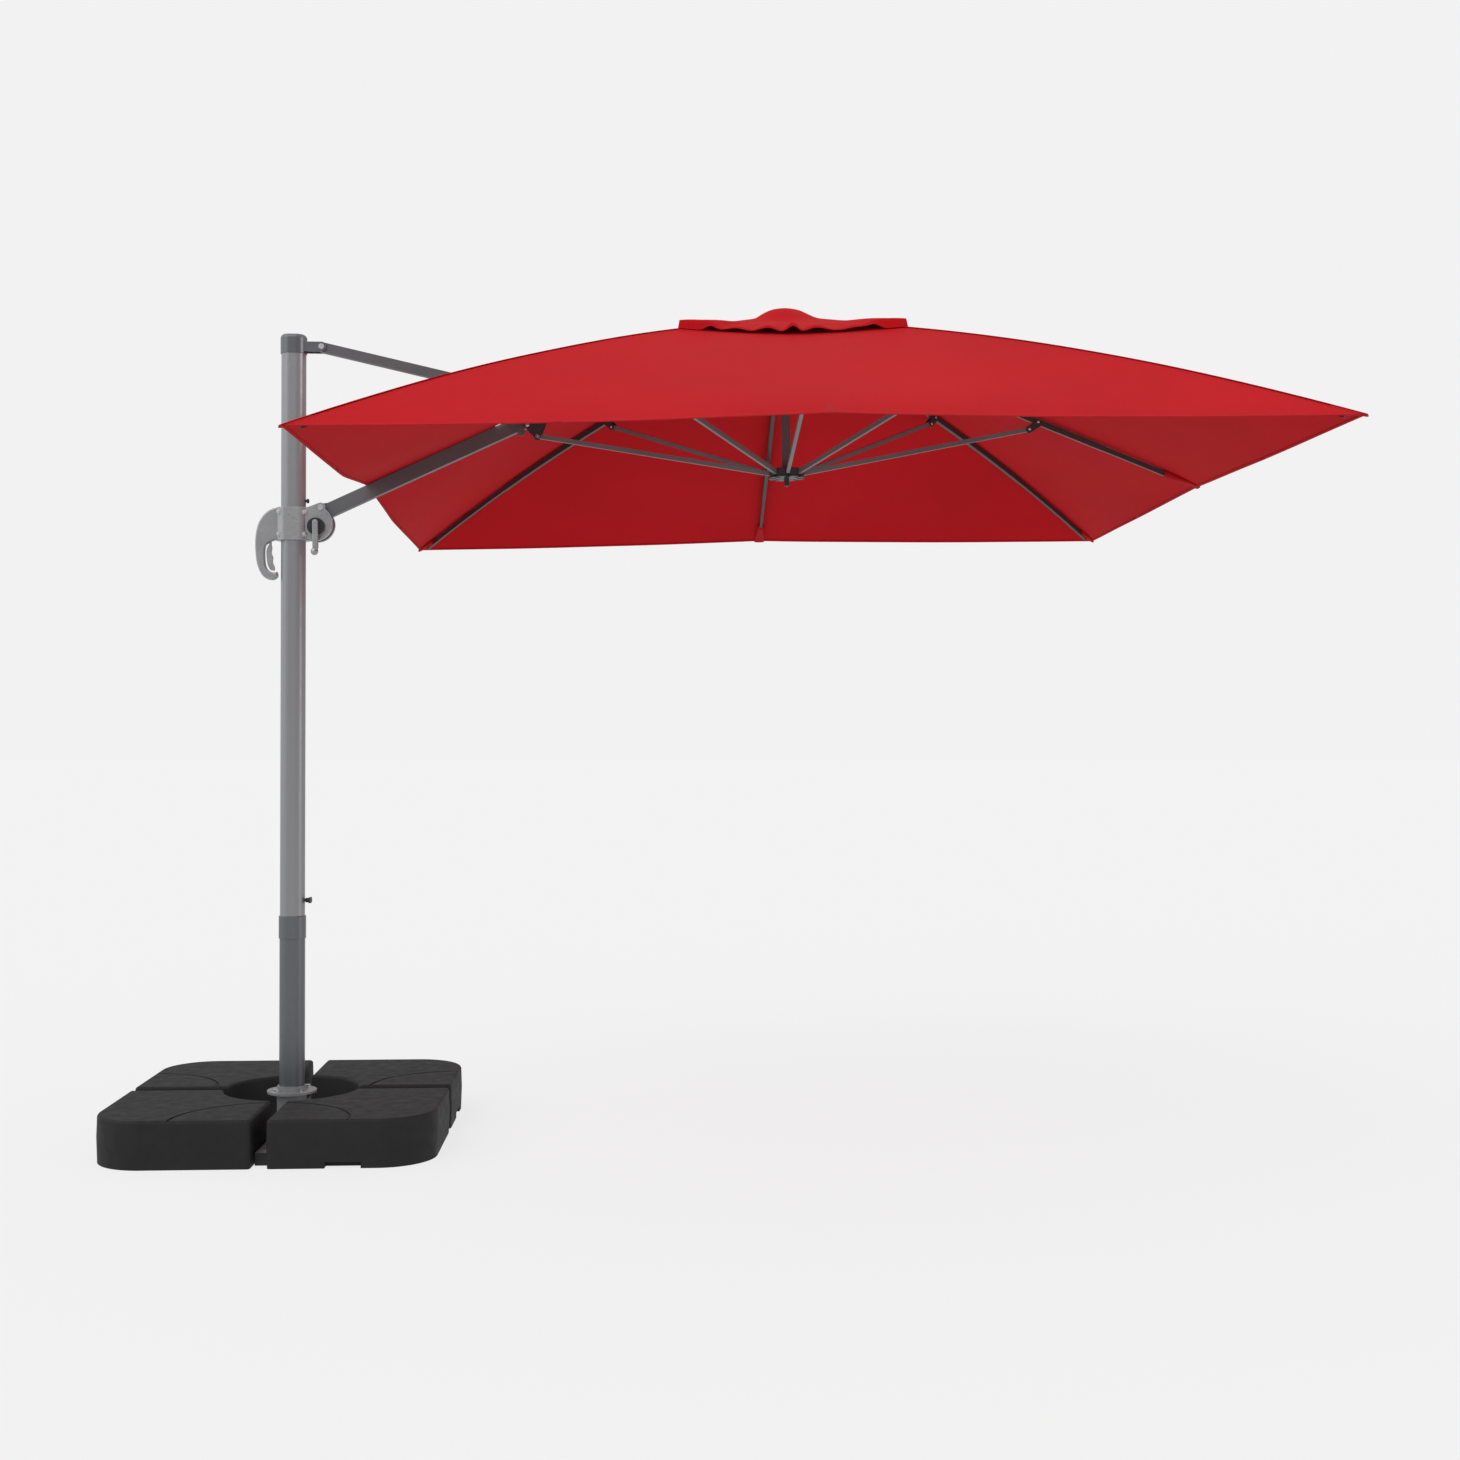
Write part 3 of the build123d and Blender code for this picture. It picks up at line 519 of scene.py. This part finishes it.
def roof_height(s, w, mid_azimuth):
    """Height on the square ring of half side s, from a mid rib (w 0) to a corner (w 1)."""
    mid_line = ARM_RIDGE if mid_azimuth == 180 else MID_RIDGE
    mid = ridge_height(mid_line, s, HALF_SIDE, MID_EDGE)
    corner = ridge_height(CORNER_RIDGE, s * sqrt(2), HALF_SIDE * sqrt(2), CORNER_EDGE)
    return (1 - w) * mid + w * corner - SAG * 4 * w * (1 - w) * s / HALF_SIDE


def arm_lift(point):
    """Raises a roof point so that the fabric lies over the arm, which would pass through it near the hem."""
    start, end = ARM_LINE
    if point.x > end[0] or abs(point.y) > TENT_REACH:
        return point
    rise = (end[1] - start[1]) / (end[0] - start[0])
    top = start[1] + (point.x - start[0]) * rise + ARM_HALF_DEPTH + 0.002
    tent = top - TENT_SLOPE * max(0.0, abs(point.y) - ARM_HALF_WIDTH - 0.004)
    ease = 0.004
    gap = tent - point.z
    lifted = point.z + (gap + sqrt(gap * gap + ease * ease)) / 2
    return Vector((point.x, point.y, lifted))


def crease(point):
    """Small uneven waves of stretched cloth."""
    return 0.0016 * noise.noise(Vector((point.x * 2.1, point.y * 2.1, 0.3)))


def sector_place(azimuth, q):
    """Where a sector's column lies: the mid rib it is measured from, the side of that rib and w.

    q runs from -1 to 1 across the sector, and 0 is its rib.
    """
    if azimuth % 90 == 0:
        return azimuth, (1 if q >= 0 else -1), abs(q) / 2
    mid = azimuth - 45 if q < 0 else azimuth + 45
    return mid % 360, (1 if q < 0 else -1), 1 - abs(q) / 2


def on_roof(azimuth, q, s, height):
    """A point on a sector, in the object's frame, from its square ring and its height."""
    mid, side, w = sector_place(azimuth, q)
    turn = radians(mid)
    x, y = s, side * w * s
    flat = (x * cos(turn) - y * sin(turn), x * sin(turn) + y * cos(turn))
    return from_canopy((*flat, height))


def roof_point(azimuth, q, share):
    """A point of the canopy's fabric. share runs from 0 at the inner opening to 1 at the hem."""
    mid, _, w = sector_place(azimuth, q)
    edge = HALF_SIDE - SCALLOP * 4 * w * (1 - w)
    s = INNER + (edge - INNER) * share
    point = arm_lift(on_roof(azimuth, q, s, roof_height(s, w, mid)))
    point.z += crease(point)
    return point


def tangent_of(azimuth):
    turn = radians(azimuth)
    return (CANOPY @ Vector((-sin(turn), cos(turn), 0))).normalized()


def body_of_sector(name):
    return "arm" if name == "w" else f"rib_{name}"


def gather(made):
    """Gives the piece a mesh of its own."""
    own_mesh(made)


# ---------------------------------------------------------------- canopy


def arm_sector_rows():
    """The arm's sector: columns at fixed distances from the arm, then spread evenly to the sector's side."""
    rows = []
    for i in range(ROWS + 1):
        share = i / ROWS
        s = INNER + (HALF_SIDE - INNER) * share
        side = [offset / (s / 2) for offset in ARM_COLUMNS]
        side += [side[-1] + (1 - side[-1]) * k / SPREAD_COLUMNS for k in range(1, SPREAD_COLUMNS + 1)]
        columns = [-q for q in reversed(side[1:])] + side
        rows.append([roof_point(180, q, share) for q in columns])
    return rows


def sector_rows(azimuth):
    """Rows of points of a sector, from the inner opening to the hem."""
    if azimuth == 180:
        return arm_sector_rows()
    columns = [k * 2 / COLUMNS - 1 for k in range(COLUMNS + 1)]
    return [[roof_point(azimuth, q, i / ROWS) for q in columns] for i in range(ROWS + 1)]


def hem_band(rows, name, body, material):
    """Turned hem along a sector's outer edge."""
    edge = rows[-1]
    inward = [(rows[-3][k] - edge[k]).normalized() for k in range(len(edge))]
    last = len(edge) - 1
    along = [(edge[min(k + 1, last)] - edge[max(k - 1, 0)]).normalized() for k in range(last + 1)]
    up = [side.cross(run).normalized() for side, run in zip(inward, along)]
    up = [v if v.z > 0 else -v for v in up]
    line = [p + side * (HEM[0] / 2 - 0.001) - above * 0.0008 for p, side, above in zip(edge, inward, up)]
    points, faces = band_mesh(line, inward, up, rounded_section(*HEM))
    made = piece(name, points, faces, material, body)
    gather(made)
    return made


def seam_band(azimuth, name, body, material):
    """Felled seam over a corner rib, where two panels are sewn together."""
    steps = 30
    line = [roof_point(azimuth, 0, k / steps) for k in range(steps + 1)]
    along = [(line[min(k + 1, steps)] - line[max(k - 1, 0)]).normalized() for k in range(steps + 1)]
    across = [tangent_of(azimuth)] * (steps + 1)
    up = [run.cross(side).normalized() for run, side in zip(along, across)]
    up = [v if v.z > 0 else -v for v in up]
    line = [p + v * 0.0008 for p, v in zip(line, up)]
    points, faces = band_mesh(line, across, up, rounded_section(*SEAM))
    return piece(name, points, faces, material, body)


def pocket(azimuth, name, body, material):
    """Sewn pocket that holds the rib's tip at the hem: open round the rib, flat at the hem."""
    corner = azimuth % 90 != 0
    ridge, edge_height = (CORNER_RIDGE, CORNER_EDGE) if corner else (MID_RIDGE, MID_EDGE)
    edge_radius = HALF_SIDE * sqrt(2) if corner else HALF_SIDE
    tip = ridge[2][0]
    turn = radians(azimuth)
    side = tangent_of(azimuth)
    steps = 14
    points = []
    count = 20
    for k in range(steps + 1):
        t = k / steps
        radius = tip - 0.04 + (edge_radius + 0.003 - tip + 0.04) * t
        height = ridge_height(ridge, min(radius, edge_radius), edge_radius, edge_height)
        flat = smooth_step(t)
        depth = 0.013 * (1 - flat) + 0.004 * flat
        width = 0.0155 - 0.011 * t * t if corner else 0.0135 * (1 - flat) + 0.022 * flat
        level = height - depth * 0.9 - 0.002 * (1 - flat)
        centre = from_canopy((radius * cos(turn), radius * sin(turn), level))
        for j in range(count):
            around = 2 * pi * j / count
            a = (abs(cos(around)) ** 0.7) * (1 if cos(around) > 0 else -1) * width
            b = (abs(sin(around)) ** 0.7) * (1 if sin(around) > 0 else -1) * depth
            points.append(centre + side * a + UP * b)
    faces = grid_faces(steps + 1, count, closed=True)
    faces.append(tuple(reversed(range(count))))
    faces.append(tuple(range(steps * count, (steps + 1) * count)))
    return piece(name, points, faces, material, body)


def slit_binding(rows, body, material):
    """Bound edge of the slit that the upper strut's fork moves in."""
    middle = len(rows[0]) // 2
    chosen = [i for i, row in enumerate(rows) if SLIT_SPAN[0] <= row[middle].x <= SLIT_SPAN[1]]
    left = [rows[i][middle - 2] for i in chosen]
    right = [rows[i][middle + 2] for i in chosen]
    first, last = rows[chosen[0]], rows[chosen[-1]]
    loop = left + [last[middle - 1], last[middle], last[middle + 1]] + right[::-1]
    loop += [first[middle + 1], first[middle], first[middle - 1]]
    count = len(loop)
    section = rounded_section(*BINDING, 2)
    centre = sum(loop, Vector()) / count
    points = []
    for k, place in enumerate(loop):
        run = (loop[(k + 1) % count] - loop[k - 1]).normalized()
        side = run.cross(UP).normalized()
        if side.dot(place - centre) < 0:
            side = -side
        above = side.cross(run).normalized()
        above = above if above.z > 0 else -above
        points += [place + side * (a + 0.003) + above * b for a, b in section]
    faces = grid_faces(count, len(section), closed=True)
    start = (count - 1) * len(section)
    for k in range(len(section)):
        after = (k + 1) % len(section)
        faces.append((start + k, start + after, after, k))
    made = piece("slit_binding", points, faces, material, body)
    gather(made)
    return made


def cut_slit(rows, faces):
    """The faces that are left when the slit over the arm is open."""
    across = len(rows[0])
    middle = across // 2
    left = []
    for face in faces:
        corners = [rows[v // across][v % across] for v in face]
        inside = all(abs(v % across - middle) <= 2 for v in face)
        in_span = all(SLIT_SPAN[0] <= p.x <= SLIT_SPAN[1] for p in corners)
        if not (inside and in_span):
            left.append(face)
    return left


def build_canopy(materials):
    """One curved roof in eight sectors that meet between the ribs, so that each can gather on its rib."""
    for azimuth, name in SECTORS.items():
        body = body_of_sector(name)
        rows = sector_rows(azimuth)
        faces = grid_faces(len(rows), len(rows[0]))
        if name == "w":
            faces = cut_slit(rows, faces)
        points = [p for row in rows for p in row]
        made = piece(f"canopy_{name}", points, faces, materials["fabric"], body)
        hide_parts("canopy")
        goes_with = [hem_band(rows, f"hem_{name}", body, materials["trim"])]
        if name != "w":
            goes_with.append(pocket(azimuth, f"pocket_{name}", body, materials["trim"]))
        if azimuth % 90:
            goes_with.append(seam_band(azimuth, f"seam_{name}", body, materials["fabric"]))
        if name == "w":
            goes_with.append(slit_binding(rows, body, materials["trim"]))
        gather(made)


# ---------------------------------------------------------------- vent cap


def vent_ruffle(azimuth, q):
    """How far the vent's loose hem stands off the roof, from 0 to about 1, along one side of the square."""
    mid, side, w = sector_place(azimuth, q)
    u = side * w
    if mid in (0, 90):
        u = -u
    for (start, low), (end, high) in zip(HEM_WAVES, HEM_WAVES[1:]):
        if u <= end:
            return low + (high - low) * smooth_step((u - start) / (end - start))
    return HEM_WAVES[-1][1]


def vent_height(azimuth, q, s):
    """The vent cap lies on a level ring, so it stands off the roof between the corners, under a dome."""
    mid, _, w = sector_place(azimuth, q)
    share = s / VENT_HALF
    base = roof_height(s, w, mid)
    level = roof_height(s, 1, mid)
    base += 0.45 * (level - base)
    lift = 0.004 + 0.016 * (1 - share) ** 2
    spread = min(1.0, s * sqrt(1 + w * w) / DOME_RADIUS)
    body = sin(pi / 2 * spread) ** 2
    height = VENT_TOP * (1 - body) + (base + lift) * body
    folds = FOLD_HEIGHT * vent_ruffle(azimuth, q) * smooth_step((share - 0.45) / 0.55)
    return height + folds


def vent_point(azimuth, q, row, start):
    """A point of the vent cap: its rows run from start out to the hem and then down the short valance."""
    out = VENT_ROWS - VALANCE_ROWS
    s = start + (VENT_HALF - start) * min(row, out) / out
    height = vent_height(azimuth, q, s)
    if row > out:
        drop = (row - out) / VALANCE_ROWS
        mid, _, w = sector_place(azimuth, q)
        stand = height - roof_height(s, w, mid)
        s += VALANCE * drop
        cover = 0.25 + 0.65 * smooth_step((w - 0.68) / 0.14)
        height = roof_height(s, w, mid) + stand * (1 - cover * drop)
    return on_roof(azimuth, q, s, height)


def build_vent(materials):
    """Vent cap with its ruffled edge: eight sectors, and a crown that stays with the hub."""
    columns = [k * 2 / VENT_COLUMNS - 1 for k in range(VENT_COLUMNS + 1)]
    crown_points, crown_faces = [], []
    for azimuth, name in SECTORS.items():
        body = body_of_sector(name)
        rows = [[vent_point(azimuth, q, i, CROWN) for q in columns] for i in range(VENT_ROWS + 1)]
        faces = grid_faces(len(rows), len(rows[0]))
        points = [p for row in rows for p in row]
        made = piece(f"vent_{name}", points, faces, materials["fabric"], body)
        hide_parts("vent_cap")
        gather(made)
        inner = []
        for i in range(CROWN_ROWS + 1):
            s = CROWN * i / CROWN_ROWS
            inner.append([on_roof(azimuth, q, s, vent_height(azimuth, q, s)) for q in columns])
        start = len(crown_points)
        crown_points += [p for row in inner for p in row]
        for face in grid_faces(CROWN_ROWS + 1, len(columns)):
            crown_faces.append(tuple(start + v for v in face))
    crown = piece("vent_crown", crown_points, crown_faces, materials["fabric"], "hub",
                  merge=0.00005)
    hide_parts("vent_cap")


# ---------------------------------------------------------------- small pieces


def dome_head(centre, out, side, radius, rise):
    """Points and faces of a domed rivet head that stands off along out."""
    over = out.cross(side).normalized()
    around, rings = 16, 4
    points = [centre + out * rise]
    for k in range(1, rings + 1):
        turn = pi / 2 * k / rings
        for j in range(around):
            angle = 2 * pi * j / around
            flat = side * cos(angle) + over * sin(angle)
            points.append(centre + flat * (radius * sin(turn)) + out * (rise * cos(turn)))
    faces = [(0, 1 + j, 1 + (j + 1) % around) for j in range(around)]
    for k in range(rings - 1):
        for j in range(around):
            a, b = 1 + k * around + j, 1 + k * around + (j + 1) % around
            faces.append((a, a + around, b + around, b))
    faces.append(tuple(reversed(range(1 + (rings - 1) * around, 1 + rings * around))))
    return points, faces


def build_rivets(materials):
    """Bright rivet heads on both sides of each bracket: at the strut's pivot and where it is fixed."""
    for azimuth, name in SECTORS.items():
        side = tangent_of(azimuth)
        pivot = joint_place(f"strut_{name}_fold")
        if name == "w":
            size = ARM_RIVET_RADIUS
            seats = ((Vector(ARM_SCREW), ARM_RIVET_SEAT), (pivot, ARM_RIVET_SEAT))
        else:
            size = RIVET_RADIUS
            turn = radians(azimuth)
            radius, height = (CORNER_RIDGE if azimuth % 90 else MID_RIDGE)[1]
            fixed = from_canopy((radius * cos(turn), radius * sin(turn), height - FABRIC_RISE))
            seats = ((fixed, RIVET_SEAT), (pivot, RIVET_SEAT))
        points, faces = [], []
        for seat, out in seats:
            for way in (-1, 1):
                head, skin = dome_head(seat + side * (way * out), side * way, UP, size, RIVET_RISE)
                faces += [tuple(len(points) + v for v in face) for face in skin]
                points += head
        piece(f"rivets_{name}", points, faces, materials["bright"], body_of_sector(name))


def build_label(materials):
    """Blank care label that hangs from the far left rib's fabric, near the corner."""
    azimuth = 135
    turn = radians(azimuth)
    height = arc_height(CORNER_RIDGE, LABEL_RADIUS) + 0.004
    centre = from_canopy((LABEL_RADIUS * cos(turn), LABEL_RADIUS * sin(turn), height))
    out = (CANOPY @ Vector((cos(turn), sin(turn), 0))).normalized()
    side = tangent_of(azimuth)
    points, rows, columns = [], 8, 6
    for i in range(rows + 1):
        for k in range(columns + 1):
            across = (k / columns - 0.5) * LABEL_WIDTH
            down = i / rows * LABEL_DROP
            curl = 0.006 * sin(pi * i / rows) + 0.002 * sin(2 * pi * k / columns)
            points.append(centre + out * across - side * (0.009 + curl) - UP * down)
    made = piece("care_label", points, grid_faces(rows + 1, columns + 1), materials["label"],
                 "rib_nw")


build_stage()
MATERIALS = build_materials()
finish_cad_nodes(MATERIALS)
build_canopy(MATERIALS)
build_vent(MATERIALS)
build_rivets(MATERIALS)
build_label(MATERIALS)
